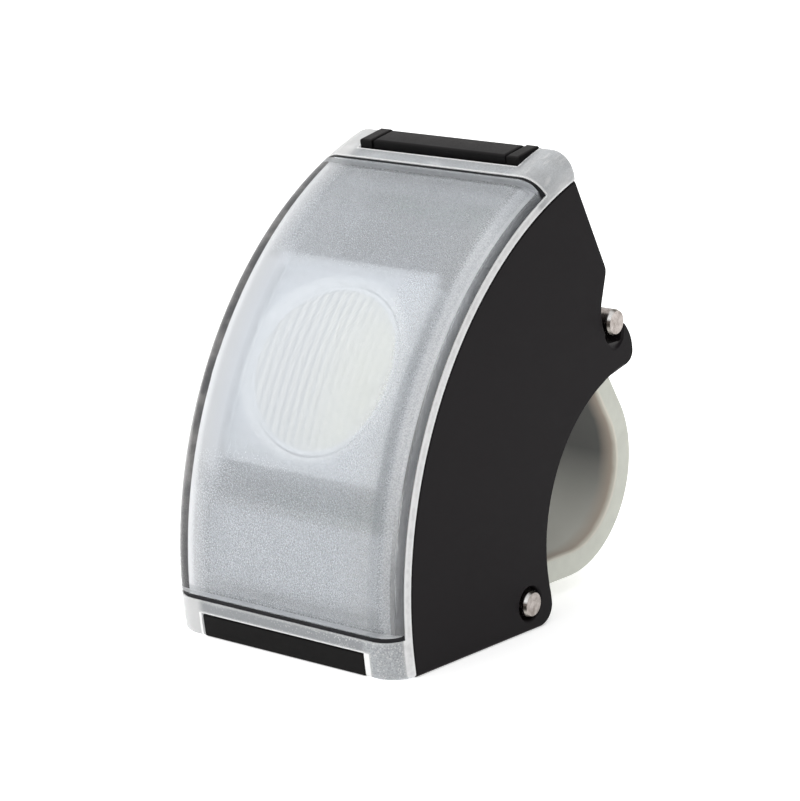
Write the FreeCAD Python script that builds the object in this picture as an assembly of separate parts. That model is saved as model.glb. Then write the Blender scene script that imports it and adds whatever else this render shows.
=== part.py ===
import FreeCAD, Part
import os
import math
from FreeCAD import Vector

# Compact bicycle headlight: a clear curved front shell with a frosted window, two black side cheeks,
# a black rear housing with a saddle for the handlebar, and a soft strap hooked over the bar by two steel pins.
# Frame: +X along the handlebar, -Y the way the light shines, +Z up. Millimetres.
# The layout is drawn from the cheek's lower front edge; ORIGIN_Y moves it so that the origin
# is at the middle of the footprint box, on the surface that the light stands on.

ORIGIN_Y = 21.15         # from the cheek's lower front edge back to the middle of the overall depth

# ---- driving dimensions ----
HALF_W = 15.0            # half the width over the two cheeks
ARC_Y, ARC_Z = 40.3, 8.7  # centre line of the curved front, parallel to X
R_OUT = 43.2             # outer front surface
R_CHEEK = 40.33          # front edge of the cheeks
CORNER = 3.0             # rounding between front surface and sides
R_RIM = 41.2             # top of the thin side rim beside the window
R_WIN_IN = 41.7          # inner surface of the clear window
R_SKIRT = 41.32          # lower edge of the window's side skirts
WIN_X = 13.45            # inner faces of the window's side skirts
SEAL_X = 13.03           # inner edges of the seal strips under the skirts
R_SHELL_IN = 33.0        # back edge of the front shell, where the rear housing starts
R_CAV = 38.8             # inner surface of the shell's own walls
TH_SEAM_TOP = 115.4      # window groove, upper end, degrees round the arc
TH_WIN_TOP = 116.1       # window, upper end
TH_WIN_BOT = 185.52      # window, lower end
TH_SEAM_BOT = 186.2      # window groove, lower end
SHELL_BACK_Y = 27.6      # upright back end of the front shell at the top
CHEEK_T = 1.6            # cheek thickness over the body
CHEEK_T_FRONT = 1.0      # cheek thickness along its front edge
CHEEK_FIN_IN = 11.5      # inner face of the thick fins behind the body
RIM_BEVEL = 0.22         # bevel round the cheeks' outer faces
SADDLE_Y, SADDLE_Z, R_SADDLE = 40.0, 8.9, 16.76
PIN_D = 2.8
PIN_HALF = 15.45
LOW_PIN = (20.2, 3.05)
UP_PIN = (34.8, 30.75)
PIN_FIT = 0.04           # radial running clearance of the lower pin in the cheeks
STRAP_HALF = 10.5
STRAP_Y, STRAP_Z = 33.9, 13.25   # centre of the relaxed strap loop
STRAP_RO, STRAP_RI = 11.3, 8.8
FLEX_LOW_DEG, FLEX_UP_DEG = 0.0, 34.5   # where the strap bends, degrees round its loop
FLEX_GAP = 0.06
LOOP_R = 2.3             # outer radius of the strap's end loops round the pins
BTN_O = (25.16, 49.69)    # middle of the power button's top
BTN_TILT = 12.0
BTN_HALF = 8.7
BTN_U = 1.56             # from the button's middle to its front face
BTN_UB = 1.85            # and to its back face
BTN_TRAVEL = 0.5
LUG_HALF = 10.45
COVER_HALF = 10.75
COVER_HINGE = (7.2, 0.75)
TH_OPTIC = 150.3
OPTIC_D = 18.0
RIB_PITCH = 1.05
TH_BATT = 154.0

os.makedirs("parts", exist_ok=True)


def P(x, y, z):
    return Vector(x, y, z)


def arc_pt(r, th, x=0.0):
    a = math.radians(th)
    return Vector(x, ARC_Y + r * math.cos(a), ARC_Z + r * math.sin(a))


def box(x0, x1, y0, y1, z0, z1):
    return Part.makeBox(x1 - x0, y1 - y0, z1 - z0, Vector(x0, y0, z0))


def wedge(pts, th0, th1):
    """Ring segment about the front arc's centre line. pts is a closed outline of (x, r); a point may be
    ("arc", (x, r) through, (x, r) to)."""
    def q(p):
        return arc_pt(p[1], th0, p[0])
    edges = []
    cur = pts[0]
    for p in list(pts[1:]) + [pts[0]]:
        if p[0] == "arc":
            edges.append(Part.Arc(q(cur), q(p[1]), q(p[2])).toShape())
            cur = p[2]
        else:
            if q(p).distanceToPoint(q(cur)) > 1e-6:
                edges.append(Part.LineSegment(q(cur), q(p)).toShape())
            cur = p
    f = Part.Face(Part.Wire(edges))
    return f.revolve(Vector(0, ARC_Y, ARC_Z), Vector(1, 0, 0), th1 - th0)


def ring(x0, x1, r0, r1, th0, th1):
    return wedge([(x0, r0), (x1, r0), (x1, r1), (x0, r1)], th0, th1)


def outline(pts, x0, x1):
    """Prism along X. pts is a closed outline of (y, z); a point may be ("arc", through, to)."""
    def q(p):
        return Vector(x0, p[0], p[1])
    edges = []
    cur = pts[0]
    for p in list(pts[1:]) + [pts[0]]:
        if p[0] == "arc":
            edges.append(Part.Arc(q(cur), q(p[1]), q(p[2])).toShape())
            cur = p[2]
        else:
            if q(p).distanceToPoint(q(cur)) > 1e-6:
                edges.append(Part.LineSegment(q(cur), q(p)).toShape())
            cur = p
    return Part.Face(Part.Wire(edges)).extrude(Vector(x1 - x0, 0, 0))


def cyl_x(y, z, r, x0, x1):
    return Part.makeCylinder(r, x1 - x0, Vector(x0, y, z), Vector(1, 0, 0))


def local_frame(o, ydir):
    """Turns a shape drawn with local (x, u, n) on (X, Y, Z) so that u lies along ydir degrees in the YZ plane."""
    def put(s):
        s = s.copy()
        s.rotate(Vector(0, 0, 0), Vector(1, 0, 0), ydir)
        s.translate(Vector(0, o[0], o[1]))
        return s
    return put


def one(shape):
    shape = shape.removeSplitter()
    return shape


parts = {}

# ---- the outer envelope of the clear front ----
def envelope(off=0.0, r0=20.0, th0=98.0, th1=200.0):
    h, r, c = HALF_W - off, R_OUT - off, CORNER - off
    k = math.sqrt(0.5)
    return wedge([(-h, r0), (h, r0), (h, r - c), ("arc", (h - c + c * k, r - c + c * k), (h - c, r)),
                  (-(h - c), r), ("arc", (-(h - c) - c * k, r - c + c * k), (-h, r - c))], th0, th1)


ENV = envelope()
below = box(-40, 40, -30, 80, -30, 0)
behind = box(-40, 40, SHELL_BACK_Y, 80, -5, 80)


def window_plan(x, r0, r1, th0, th1, top_r, bot_r):
    """Ring segment whose four corners are rounded in plan."""
    s = ring(-x, x, r0, r1, th0, th1)
    top, bot = [], []
    for e in s.Edges:
        a, b = e.Vertexes[0].Point, e.Vertexes[-1].Point
        if e.Curve.TypeId == "Part::GeomLine" and abs(a.x - b.x) < 1e-6:
            (top if a.z > ARC_Z + 10 else bot).append(e)
    s = s.makeFillet(top_r, top)
    bot = [e for e in s.Edges if e.Curve.TypeId == "Part::GeomLine" and abs(e.Vertexes[0].Point.x - e.Vertexes[-1].Point.x) < 1e-6
           and abs(abs(e.Vertexes[0].Point.x) - x) < 1e-6 and e.Vertexes[0].Point.z < ARC_Z + 5]
    return s.makeFillet(bot_r, bot)


def soft_box(x, r0, r1, th0, th1, side, end):
    """Ring segment whose two long outer edges are rounded by side, with the outline of both ends rounded by end."""
    k = math.sqrt(0.5)
    s = wedge([(-x, r0), (x, r0), (x, r1 - side), ("arc", (x - side + side * k, r1 - side + side * k), (x - side, r1)),
               (-(x - side), r1), ("arc", (-(x - side) - side * k, r1 - side + side * k), (-x, r1 - side))], th0, th1)
    es = []
    for e in s.Edges:
        m = e.valueAt((e.FirstParameter + e.LastParameter) / 2)
        pts = [m] + [v.Point for v in e.Vertexes]
        th = [math.degrees(math.atan2(p.z - ARC_Z, p.y - ARC_Y)) % 360 for p in pts]
        rad = [math.hypot(p.y - ARC_Y, p.z - ARC_Z) for p in pts]
        if max(th) - min(th) < 1e-3 and max(rad) > r0 + 1e-3:
            es.append(e)
    try:
        t = s.makeFillet(end, es)
        if t.isValid() and t.Volume > 0:
            return t
    except Exception:
        pass
    print("soft box ends left sharp", len(es))
    return s


pocket = window_plan(15.6, R_RIM, 45.0, TH_SEAM_TOP, TH_SEAM_BOT, 1.0, 1.0)
win_plan = window_plan(15.6, R_SKIRT, 45.0, TH_WIN_TOP, TH_WIN_BOT, 2.0, 1.3)
win_hollow = soft_box(WIN_X, 38.0, R_WIN_IN, 116.5, 185.1, 1.4, 0.3)

# ---- the button's own slanted frame: u runs back and up along its top, n stands off it ----
put_b = local_frame(BTN_O, BTN_TILT)

# ---- front shell ----
shell = envelope(r0=R_SHELL_IN + 0.03).cut(below).cut(behind)
# soften the lower front edge and the upper back edge
def soft(s, pick, r):
    es = [e for e in s.Edges if pick(e)]
    try:
        t = s.makeFillet(r, es)
        if t.isValid() and t.Volume > 0:
            return t
    except Exception:
        pass
    print("edge left sharp", len(es))
    return s


shell = soft(shell, lambda e: all(abs(v.Point.z) < 1e-4 for v in e.Vertexes) and abs(e.CenterOfMass.z) < 1e-4
             and e.CenterOfMass.y < 3.0 and e.BoundBox.YMax < 3.2, 0.5)
shell = soft(shell, lambda e: all(abs(v.Point.y - SHELL_BACK_Y) < 1e-4 for v in e.Vertexes) and e.CenterOfMass.z > 46.9
             and abs(e.CenterOfMass.y - SHELL_BACK_Y) < 1e-4, 0.4)
shell = shell.cut(pocket)
shell = shell.cut(window_plan(13.4, R_CAV, 43.0, 116.45, 185.15, 0.25, 0.25))
shell = shell.cut(cyl_x(ARC_Y, ARC_Z, R_CAV, -11.6, 11.6).cut(box(-40, 40, -30, 80, -60, 2.8)))
for s in (-1, 1):
    a, b = sorted((s * 13.9, s * 16.0))
    shell = shell.cut(cyl_x(ARC_Y, ARC_Z, R_CHEEK + 0.05, a, b))
    a, b = sorted((s * 13.3, s * 16.0))
    shell = shell.cut(cyl_x(ARC_Y, ARC_Z, 38.5, a, b))
# pocket for the button unit, open at the back, and the bore under it
shell = shell.cut(put_b(box(-LUG_HALF - 0.1, LUG_HALF + 0.1, -BTN_U - 0.5, 6, -3.4, 6)))
shell = shell.cut(put_b(Part.makeCylinder(1.9, 4, Vector(0, -0.5, -6.5))))
shell = shell.cut(put_b(box(-3.4, 3.4, -2.4, 1.4, -7.7, -4.9)))
# bosses for the two screws that hold the rear housing
SCREW_Z, SCREW_X = 41.0, 9.5
for s in (-1, 1):
    boss = Part.makeCylinder(1.9, SHELL_BACK_Y - 21.0, Vector(s * SCREW_X, 21.0, SCREW_Z), Vector(0, 1, 0))
    web = box(min(s * SCREW_X, s * 11.7), max(s * SCREW_X, s * 11.7), 21.0, SHELL_BACK_Y, SCREW_Z - 1.2, SCREW_Z + 1.2)
    shell = shell.fuse(boss).fuse(web)
    shell = shell.cut(Part.makeCylinder(0.8, 7.0, Vector(s * SCREW_X, 21.6, SCREW_Z), Vector(0, 1, 0)))
# recess for the port cover, its hinge groove and the socket's mouth
cover_h, cover_back = COVER_HALF + 0.12, 8.0
shell = shell.cut(box(-cover_h, cover_h, -6, cover_back, -1, 1.35))
shell = shell.cut(box(-cover_h, cover_h, -6, -0.85, -1, 2.62))
shell = shell.cut(cyl_x(COVER_HINGE[0], COVER_HINGE[1], 0.72, -cover_h, cover_h))
shell = shell.cut(box(-5.1, 5.1, 3.0, 6.8, 0, 4))
parts["front_shell"] = one(shell)

# ---- clear window, its seal and the frosted tray behind it ----
window = ENV.common(win_plan).cut(win_hollow)
parts["window_lens"] = one(window)
# the seal lies under the side skirts and fills the grooves at the window's two ends
seal = envelope(off=0.12).common(pocket).cut(window_plan(15.6, R_SKIRT - 0.01, 45.0, TH_WIN_TOP - 0.02, TH_WIN_BOT + 0.02, 2.0, 1.3))
seal = seal.cut(window_plan(SEAL_X, 40.0, 45.0, TH_WIN_TOP - 0.02, TH_WIN_BOT + 0.02, 0.5, 0.5))
parts["window_seal"] = one(seal)

tray_out = soft_box(13.33, 39.3, R_WIN_IN - 0.08, 116.62, 184.98, 1.32, 0.25)
tray_in = soft_box(12.5, 30.0, R_WIN_IN - 0.88, 117.75, 183.85, 0.6, 0.2)
parts["diffuser_tray"] = one(tray_out.cut(tray_in))

# ---- rear housing ----
def arc_on(cy, cz, r, deg):
    a = math.radians(deg)
    return (cy + r * math.cos(a), cz + r * math.sin(a))

front_low = (ARC_Y - math.sqrt(R_SHELL_IN ** 2 - ARC_Z ** 2), 0.0)
front_top = (SHELL_BACK_Y, ARC_Z + math.sqrt(R_SHELL_IN ** 2 - (ARC_Y - SHELL_BACK_Y) ** 2))
sad0 = (SADDLE_Y - math.sqrt(R_SADDLE ** 2 - 2.5 ** 2), SADDLE_Z - 2.5)
sad1 = arc_on(SADDLE_Y, SADDLE_Z, R_SADDLE, 114.0)
housing_pts = [front_low, (16.9, 0.0), (16.9, 6.1), (17.3, 6.4), sad0,
               ("arc", arc_on(SADDLE_Y, SADDLE_Z, R_SADDLE, 155.0), sad1),
               (31.3, 26.6), ("arc", (30.45, 30.2), (30.9, 33.8)), (32.3, 36.6), (32.35, 37.6),
               (27.9, 45.3), (SHELL_BACK_Y, 45.55), front_top, ("arc", (arc_pt(R_SHELL_IN, 160).y, arc_pt(R_SHELL_IN, 160).z), front_low)]
housing = outline(housing_pts, -13.3, 13.3)
cav0 = arc_on(SADDLE_Y, SADDLE_Z, 18.4, 183.5)
cav1 = arc_on(SADDLE_Y, SADDLE_Z, 18.4, 123.0)
cavity_pts = [(4.0, 1.6), (15.3, 1.6), (15.3, 7.7), cav0, ("arc", arc_on(SADDLE_Y, SADDLE_Z, 18.4, 150.0), cav1),
              (29.1, 26.9), (28.85, 33.9), (30.5, 37.3), (27.3, 42.9), (4.0, 42.9)]
housing = housing.cut(outline(cavity_pts, -11.8, 11.8))
# screw seats on the sloping back
for s in (-1, 1):
    pad = Part.makeCylinder(2.5, 3.2, Vector(s * SCREW_X, SHELL_BACK_Y, SCREW_Z), Vector(0, 1, 0))
    keep = outline([(SHELL_BACK_Y, 36), (32.35, 36), (32.35, 37.6), (27.9, 45.3), (SHELL_BACK_Y, 45.55)], -13.3, 13.3)
    housing = housing.fuse(pad.common(keep))
    housing = housing.cut(Part.makeCylinder(1.1, 8.0, Vector(s * SCREW_X, 27.0, SCREW_Z), Vector(0, 1, 0)))
    housing = housing.cut(Part.makeCylinder(1.95, 8.0, Vector(s * SCREW_X, 28.6, SCREW_Z), Vector(0, 1, 0)))
# shallow bed for the grip pad
PAD_HALF, PAD_T = 10.0, 0.8
housing = housing.cut(
    outline([arc_on(SADDLE_Y, SADDLE_Z, R_SADDLE - 2, 184), arc_on(SADDLE_Y, SADDLE_Z, R_SADDLE + PAD_T, 184),
             ("arc", arc_on(SADDLE_Y, SADDLE_Z, R_SADDLE + PAD_T, 152), arc_on(SADDLE_Y, SADDLE_Z, R_SADDLE + PAD_T, 120)),
             arc_on(SADDLE_Y, SADDLE_Z, R_SADDLE - 2, 120),
             ("arc", arc_on(SADDLE_Y, SADDLE_Z, R_SADDLE - 2, 152), arc_on(SADDLE_Y, SADDLE_Z, R_SADDLE - 2, 184))],
            -PAD_HALF - 0.05, PAD_HALF + 0.05))
# sockets for the cheeks' pegs
PEGS = [(13.0, 10.5), (20.0, 30.5)]
for y, z in PEGS:
    housing = housing.cut(cyl_x(y, z, 1.05, -14, 14))
# room for the switch and its board behind the button
housing = housing.cut(put_b(box(-7.3, 7.3, -2.6, 1.6, -8.55, -4.8)))
parts["rear_housing"] = one(housing)

pad_ri = R_SADDLE - 0.06
pad = outline([arc_on(SADDLE_Y, SADDLE_Z, pad_ri, 183.7), arc_on(SADDLE_Y, SADDLE_Z, R_SADDLE + PAD_T, 183.7),
               ("arc", arc_on(SADDLE_Y, SADDLE_Z, R_SADDLE + PAD_T, 152), arc_on(SADDLE_Y, SADDLE_Z, R_SADDLE + PAD_T, 120.3)),
               arc_on(SADDLE_Y, SADDLE_Z, pad_ri, 120.3),
               ("arc", arc_on(SADDLE_Y, SADDLE_Z, pad_ri, 152), arc_on(SADDLE_Y, SADDLE_Z, pad_ri, 183.7))], -PAD_HALF, PAD_HALF)
# grip grooves along the bar
for a in range(126, 182, 7):
    y, z = arc_on(SADDLE_Y, SADDLE_Z, pad_ri - 0.12, a)
    pad = pad.cut(cyl_x(y, z, 0.42, -PAD_HALF - 1, PAD_HALF + 1))
parts["grip_pad"] = one(pad)

# ---- cheeks ----
low_front = (ARC_Y - math.sqrt(R_CHEEK ** 2 - ARC_Z ** 2), 0.0)
TIP = (27.5, ARC_Z + math.sqrt(R_CHEEK ** 2 - (ARC_Y - 27.5) ** 2))
KNEE = (33.55, 36.65)
HOOK_TIP = (36.8, 30.5)
cheek_pts = [low_front, ("arc", (arc_pt(R_CHEEK, 150).y, arc_pt(R_CHEEK, 150).z), TIP),
             KNEE, (32.76, 33.1),
             ("arc", (32.85, 31.3), (33.54, 29.7)), ("arc", (35.25, 27.84), (36.6, 28.7)), HOOK_TIP,
             ("arc", (38.05, 29.25), (38.8, 27.1)),
             ("arc", (38.42, 26.05), (37.38, 25.57)), ("arc", (35.1, 25.1), (33.3, 24.28)),
             ("arc", arc_on(SADDLE_Y, SADDLE_Z, R_SADDLE, 155), arc_on(SADDLE_Y, SADDLE_Z, R_SADDLE, 196.3)),
             ("arc", (24.25, 3.0), (24.4, 2.05)), ("arc", (23.85, 0.66), (22.6, 0.0))]


def round_corners(s, spots):
    """Rounds the edges along X that stand at the given (y, z) corners."""
    for (y, z), r in spots:
        es = [e for e in s.Edges if all(math.hypot(v.Point.y - y, v.Point.z - z) < 1e-3 for v in e.Vertexes)]
        s = s.makeFillet(r, es)
    return s


CORNERS = [(TIP, 0.55), (KNEE, 1.6), (HOOK_TIP, 0.32)]


def cheek():
    # plate with a narrow bevel all round its outer face
    base = round_corners(outline(cheek_pts, 13.4, HALF_W - RIM_BEVEL), CORNERS)
    rim = Part.Wire(Part.__sortEdges__([e for e in base.Edges
                                        if all(abs(v.Point.x - (HALF_W - RIM_BEVEL)) < 1e-6 for v in e.Vertexes)]))
    inner = rim.makeOffset2D(-RIM_BEVEL)
    inner.translate(Vector(RIM_BEVEL, 0, 0))
    full = base.fuse(Part.makeLoft([rim, inner], True, True))
    # thinner along the front edge
    full = full.cut(cyl_x(ARC_Y, ARC_Z, 60, 13.0, HALF_W - CHEEK_T_FRONT).cut(cyl_x(ARC_Y, ARC_Z, 38.45, 12.0, 16.0)))
    # thick fins where the body is cut away
    fin = round_corners(outline(cheek_pts, CHEEK_FIN_IN, 13.45), CORNERS)
    body_side = outline([(front_low[0] - 12, -1), (17.0, -1), (17.0, 6.0), (17.3, 6.3), (sad0[0], sad0[1] - 0.1),
                         (sad0[0] + 8, sad0[1] - 0.1), (sad0[0] + 8, 22.0), (33.3, 24.15), (31.42, 26.65),
                         ("arc", (30.57, 30.2), (31.02, 33.75)), (32.42, 36.6), (33.9, 37.2), (33.9, 60), (-20, 60), (-20, -1)],
                        10.0, 14.0)
    fin = fin.cut(body_side)
    s = full.fuse(fin)
    for y, z in PEGS:
        s = s.fuse(cyl_x(y, z, 1.0, 12.1, 13.6))
    # the lower pin's bore, with a wider recess at the outer face
    s = s.cut(cyl_x(LOW_PIN[0], LOW_PIN[1], PIN_D / 2 + PIN_FIT, 10, 17))
    s = s.cut(cyl_x(LOW_PIN[0], LOW_PIN[1], 1.82, HALF_W - 1.1, 17))
    lip = [e for e in s.Edges if e.Curve.TypeId == "Part::GeomCircle" and abs(e.Curve.Radius - 1.82) < 1e-6
           and abs(e.CenterOfMass.x - HALF_W) < 1e-6]
    return one(s.makeFillet(0.3, lip))


right = cheek()
parts["side_panel_right"] = right
parts["side_panel_left"] = right.mirror(Vector(0, 0, 0), Vector(1, 0, 0))

# ---- pins ----
def pin(y, z):
    # rod with a long shallow chamfer at each end
    s = cyl_x(y, z, PIN_D / 2, -PIN_HALF + 0.35, PIN_HALF - 0.35)
    for sgn in (-1, 1):
        s = s.fuse(Part.makeCone(PIN_D / 2, PIN_D / 2 - 0.14, 0.35, Vector(sgn * (PIN_HALF - 0.35), y, z), Vector(sgn, 0, 0)))
    return one(s)

parts["lower_pin"] = pin(*LOW_PIN)
parts["upper_pin"] = pin(*UP_PIN)

# ---- strap, in three lengths that meet at its two bends ----
def sp(r, deg):
    return arc_on(STRAP_Y, STRAP_Z, r, deg)

g = math.degrees(FLEX_GAP / STRAP_RO)
low = outline([(LOW_PIN[0], STRAP_Z - STRAP_RO), (STRAP_Y, STRAP_Z - STRAP_RO),
               ("arc", sp(STRAP_RO, (FLEX_LOW_DEG - 90) / 2), sp(STRAP_RO, FLEX_LOW_DEG - g)),
               sp(STRAP_RI, FLEX_LOW_DEG - g),
               ("arc", sp(STRAP_RI, (FLEX_LOW_DEG - 90) / 2), sp(STRAP_RI, -90)),
               (LOW_PIN[0], STRAP_Z - STRAP_RI)], -STRAP_HALF, STRAP_HALF)
low = low.fuse(cyl_x(LOW_PIN[0], LOW_PIN[1], LOOP_R, -STRAP_HALF, STRAP_HALF))
low = low.cut(cyl_x(LOW_PIN[0], LOW_PIN[1], PIN_D / 2, -STRAP_HALF - 1, STRAP_HALF + 1))
parts["strap_lower"] = one(low)
mid = (FLEX_LOW_DEG + FLEX_UP_DEG) / 2
parts["strap_back"] = outline([sp(STRAP_RO, FLEX_LOW_DEG), ("arc", sp(STRAP_RO, mid), sp(STRAP_RO, FLEX_UP_DEG)),
                               sp(STRAP_RI, FLEX_UP_DEG), ("arc", sp(STRAP_RI, mid), sp(STRAP_RI, FLEX_LOW_DEG))],
                              -STRAP_HALF, STRAP_HALF)
a_up = math.radians(FLEX_UP_DEG)
d = (-math.sin(a_up), math.cos(a_up))
o0, i0 = sp(STRAP_RO, FLEX_UP_DEG + g), sp(STRAP_RI, FLEX_UP_DEG + g)
run = (UP_PIN[0] - o0[0]) * d[0] + (UP_PIN[1] - o0[1]) * d[1]
up = outline([o0, (o0[0] + run * d[0], o0[1] + run * d[1]), (i0[0] + run * d[0], i0[1] + run * d[1]), i0], -STRAP_HALF, STRAP_HALF)
up = up.fuse(cyl_x(UP_PIN[0], UP_PIN[1], LOOP_R, -STRAP_HALF, STRAP_HALF))
up = up.cut(cyl_x(UP_PIN[0], UP_PIN[1], PIN_D / 2, -STRAP_HALF - 1, STRAP_HALF + 1))
parts["strap_upper"] = one(up)

# ---- power button unit ----
frame = put_b(box(-LUG_HALF, LUG_HALF, -BTN_U - 0.1, BTN_UB + 0.1, -3.35, -2.75))
for s in (-1, 1):
    a, b = sorted((s * (BTN_HALF + 0.2), s * LUG_HALF))
    lug = box(a, b, -BTN_U - 0.1, BTN_UB + 0.25, -3.0, 0.0)
    lug = lug.makeFillet(0.25, [e for e in lug.Edges if all(abs(v.Point.z) < 1e-6 for v in e.Vertexes)])
    frame = frame.fuse(put_b(lug))
frame = frame.fuse(put_b(box(-LUG_HALF, LUG_HALF, BTN_UB + 0.15, BTN_UB + 2, -3.35, -0.4)))
frame = frame.cut(put_b(Part.makeCylinder(1.45, 2, Vector(0, -0.5, -4.0))))
parts["button_frame"] = one(frame.cut(box(-40, 40, SHELL_BACK_Y, 60, 30, 60)))

btn = box(-BTN_HALF, BTN_HALF, -BTN_U, BTN_UB, -2.1, 0.0)
btn = btn.makeFillet(0.3, [e for e in btn.Edges if all(abs(v.Point.z) < 1e-6 for v in e.Vertexes)])
btn = btn.fuse(Part.makeCylinder(1.2, 2.3, Vector(0, -0.5, -4.3)))
parts["power_button"] = one(put_b(btn))
parts["switch_plunger"] = put_b(Part.makeCylinder(0.85, 1.3, Vector(0, -0.5, -5.6)))
sw = box(-3.1, 3.1, -2.1, 1.1, -7.4, -5.1).cut(Part.makeCylinder(0.95, 2.3, Vector(0, -0.5, -6.3)))
parts["tact_switch"] = put_b(sw)
parts["switch_board"] = put_b(box(-7.0, 7.0, -2.3, 1.25, -8.25, -7.4))

# ---- port cover ----
cov = box(-COVER_HALF, COVER_HALF, -5, COVER_HINGE[0], 0.1, 1.2).fuse(box(-COVER_HALF, COVER_HALF, -5, -1.0, 0.1, 2.5))
cov = cov.fuse(cyl_x(COVER_HINGE[0], COVER_HINGE[1], 0.65, -COVER_HALF, COVER_HALF))
cov = cov.common(envelope(off=0.03))
def soft_each(s, pick, r):
    """Rounds the picked edges one after another, leaving any that can't be rounded."""
    left = 0
    for c in [e.CenterOfMass for e in s.Edges if pick(e)]:
        e = min(s.Edges, key=lambda k: k.CenterOfMass.distanceToPoint(c))
        try:
            t = s.makeFillet(r, [e])
            if t.isValid():
                s = t
                continue
        except Exception:
            pass
        left += 1
    if left:
        print("edges left sharp", left)
    return s


cov = soft_each(cov, lambda e: e.CenterOfMass.y < -1.6 and (
    (abs(e.CenterOfMass.x) < 1 and e.Length > 20 and e.CenterOfMass.y < -1.9) or
    (abs(abs(e.CenterOfMass.x) - COVER_HALF) < 1e-3 and e.CenterOfMass.y < -1.9 and 0.5 < e.CenterOfMass.z < 2.4)), 0.2)
cov = cov.fuse(box(-4.0, 4.0, 3.9, 5.9, 1.0, 1.75))
parts["port_cover"] = one(cov)

# ---- charging socket and its board ----
sock = box(-4.47, 4.47, 3.25, 6.51, 2.0, 9.3)
sock = sock.makeFillet(1.3, [e for e in sock.Edges if abs(e.Vertexes[0].Point.z - e.Vertexes[-1].Point.z) > 5])
inner = box(-4.17, 4.17, 3.55, 6.21, 1.5, 8.3)
inner = inner.makeFillet(1.05, [e for e in inner.Edges if abs(e.Vertexes[0].Point.z - e.Vertexes[-1].Point.z) > 5])
sock = sock.cut(inner).fuse(box(-3.34, 3.34, 4.53, 5.23, 2.7, 8.6))
parts["usb_socket"] = one(sock)
parts["charge_board"] = box(-6.5, 6.5, 6.51, 7.31, 2.85, 9.4)

# ---- light engine: ribbed optic, its carrier, emitter, board and heat spreader ----
put_o = local_frame((ARC_Y, ARC_Z), TH_OPTIC - 90.0)   # local n is the optic's axis, u runs along the front arc
R_FACE = 40.3            # the optic's ribbed face follows the front arc
n_ribs = int(OPTIC_D / RIB_PITCH) // 2 * 2 + 1
x0 = -n_ribs * RIB_PITCH / 2
rib_pts = [(x0, R_FACE - 0.22)]
for i in range(n_ribs):
    rib_pts.append(("arc", (x0 + (i + 0.5) * RIB_PITCH, R_FACE), (x0 + (i + 1) * RIB_PITCH, R_FACE - 0.22)))
rib_pts += [(x0 + n_ribs * RIB_PITCH, 33.0), (x0, 33.0)]
ribs = wedge(rib_pts, TH_OPTIC - 14.0, TH_OPTIC + 14.0)
body = Part.makeCylinder(OPTIC_D / 2, 3.6, Vector(0, 0, R_FACE - 3.0)).fuse(
    Part.makeCone(4.0, 8.4, 2.6, Vector(0, 0, R_FACE - 5.5))).cut(Part.makeCylinder(2.6, 2.2, Vector(0, 0, R_FACE - 6.0)))
# narrow rim standing a little above the ribs
rim = put_o(Part.makeCylinder(OPTIC_D / 2, 6, Vector(0, 0, 36)).cut(Part.makeCylinder(OPTIC_D / 2 - 0.45, 8, Vector(0, 0, 35))))
rim = rim.common(ring(-10, 10, 38.6, R_FACE + 0.1, 130, 172))
parts["optic_disc"] = one(put_o(body).common(ribs).fuse(rim))

carrier = ring(-10.2, 10.2, 39.0, 40.3, 135.5, 165.8)
for s in (-1, 1):
    a, b = sorted((s * 9.3, s * 10.2))
    carrier = carrier.fuse(ring(a, b, 34.9, 39.2, 138.5, 162.5))
carrier = carrier.cut(put_o(Part.makeCylinder(OPTIC_D / 2 + 0.12, 20, Vector(0, 0, 34))))
parts["optic_carrier"] = one(carrier)
parts["led_emitter"] = put_o(box(-1.75, 1.75, -1.75, 1.75, 33.7, 34.75))
parts["led_board"] = put_o(box(-10.8, 10.8, -10.0, 10.0, 32.6, 33.7))
parts["heat_spreader"] = put_o(box(-10.8, 10.8, -10.6, 10.6, 31.4, 32.6))

guide = ring(-11.2, 11.2, 39.0, 40.2, 172.4, 183.2)
guide = guide.fuse(ring(-2.0, 2.0, 36.4, 39.2, 175.0, 179.0))
parts["status_light_guide"] = one(guide)

# ---- battery, foam and main board ----
put_k = local_frame((ARC_Y, ARC_Z), TH_BATT - 90.0)
cell = box(-10.5, 10.5, -10.8, 12.2, 20.6, 27.4)
cell = cell.makeFillet(1.2, [e for e in cell.Edges if abs(e.Vertexes[0].Point.x - e.Vertexes[-1].Point.x) < 1e-6
                             and abs(e.Vertexes[0].Point.y - e.Vertexes[-1].Point.y) < 1e-6])
parts["battery_cell"] = put_k(cell)
parts["battery_foam"] = put_k(box(-9.0, 9.0, -10.0, 10.0, 27.4, 28.4))
board = box(-10.9, 10.9, -14.5, 13.5, 28.4, 29.3)
parts["main_board"] = put_k(board)
chips = [box(-4, 1, -9, -4, 29.3, 30.2), box(3.5, 7.0, -1.0, 2.5, 29.3, 30.1), box(-8, -5, 3.0, 7.0, 29.3, 30.2)]
parts["board_chips"] = put_k(Part.makeCompound(chips))
parts["status_led"] = put_k(box(-1.0, 1.0, -13.0, -11.6, 29.3, 30.3))

# ---- housing screws ----
scr = []
for s in (-1, 1):
    head = Part.makeCylinder(1.75, 1.1, Vector(s * SCREW_X, 28.6, SCREW_Z), Vector(0, 1, 0))
    head = head.cut(Part.makeCylinder(0.65, 0.7, Vector(s * SCREW_X, 29.1, SCREW_Z), Vector(0, 1, 0)))
    shank = Part.makeCylinder(0.8, 6.6, Vector(s * SCREW_X, 22.1, SCREW_Z), Vector(0, 1, 0))
    scr.append(head.fuse(shank).removeSplitter())
parts["housing_screws"] = Part.makeCompound(scr)

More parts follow.
